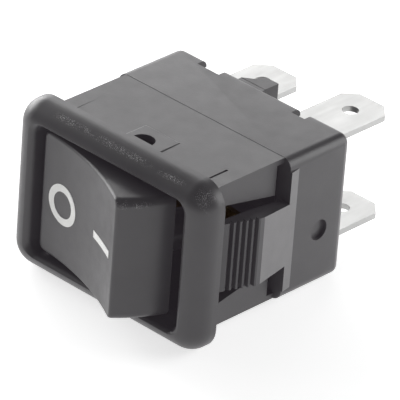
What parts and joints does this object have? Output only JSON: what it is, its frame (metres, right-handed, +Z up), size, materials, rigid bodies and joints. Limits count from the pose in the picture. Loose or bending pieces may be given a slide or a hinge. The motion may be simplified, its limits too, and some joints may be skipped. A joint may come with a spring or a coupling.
{
  "type": "panel rocker switch",
  "caption": "Snap-in panel rocker switch: rounded bezel, hollowed rocker marked O and I, box body with serrated latch tongues, and flat blade terminals at the back.",
  "frame": {"origin": "centre of the bezel's back face, in the plane that seats on the panel", "axes": "+X along the bezel's long side towards the ON end, +Y into the panel towards the terminals, +Z up along the rocker's pivot"},
  "size_m": [0.021, 0.0284, 0.015],
  "materials": {
    "housing_plastic": "moulded charcoal nylon, fine matt texture",
    "rocker_plastic": "moulded charcoal nylon, satin",
    "base_plastic": "moulded charcoal nylon, matt",
    "legend_white": "printed white",
    "tinned_brass": "tin plated, satin",
    "contact_brass": "bare, satin",
    "contact_silver": "silver alloy, polished",
    "spring_steel": "bright wire"
  },
  "bodies": {
    "switch_body": {"housing": "housing_plastic", "base": "base_plastic", "common_terminal_upper": "tinned_brass", "common_terminal_lower": "tinned_brass", "load_terminal_upper": "tinned_brass", "load_terminal_lower": "tinned_brass", "fixed_contact_upper": "contact_silver", "fixed_contact_lower": "contact_silver"},
    "rocker": {"rocker": "rocker_plastic", "off_legend": "legend_white", "on_legend": "legend_white", "spring_upper": "spring_steel", "spring_lower": "spring_steel"},
    "arm_upper": {"contact_arm_upper": "contact_brass", "moving_contact_upper": "contact_silver"},
    "arm_lower": {"contact_arm_lower": "contact_brass", "moving_contact_lower": "contact_silver"},
    "plunger_upper": {"plunger_upper": "contact_brass"},
    "plunger_lower": {"plunger_lower": "contact_brass"}
  },
  "joints": [
    {"name": "rocker_tilt", "type": "hinge", "parent": "switch_body", "child": "rocker", "pos_m": [0, 0.002, 0], "axis": [0, 0, 1], "range_deg": [0, 35]},
    {"name": "contact_arm_upper_tilt", "type": "hinge", "parent": "switch_body", "child": "arm_upper", "pos_m": [0, 0.0097, 0.0023], "axis": [0, 0, 1], "range_deg": [-18, 0]},
    {"name": "contact_arm_lower_tilt", "type": "hinge", "parent": "switch_body", "child": "arm_lower", "pos_m": [0, 0.0097, -0.0023], "axis": [0, 0, 1], "range_deg": [-18, 0]},
    {"name": "plunger_upper_slide", "type": "slide", "parent": "rocker", "child": "plunger_upper", "axis": [-0.3007, -0.9537, 0], "range_m": [0, 0.0008], "stiffness_N_per_m": 500, "deforming": ["spring_upper"]},
    {"name": "plunger_lower_slide", "type": "slide", "parent": "rocker", "child": "plunger_lower", "axis": [-0.3007, -0.9537, 0], "range_m": [0, 0.0008], "stiffness_N_per_m": 500, "deforming": ["spring_lower"]}
  ],
  "couplings": [
    {"joint": "contact_arm_upper_tilt", "follows": "rocker_tilt", "ratio": -0.51429},
    {"joint": "contact_arm_lower_tilt", "follows": "rocker_tilt", "ratio": -0.51429}
  ]
}
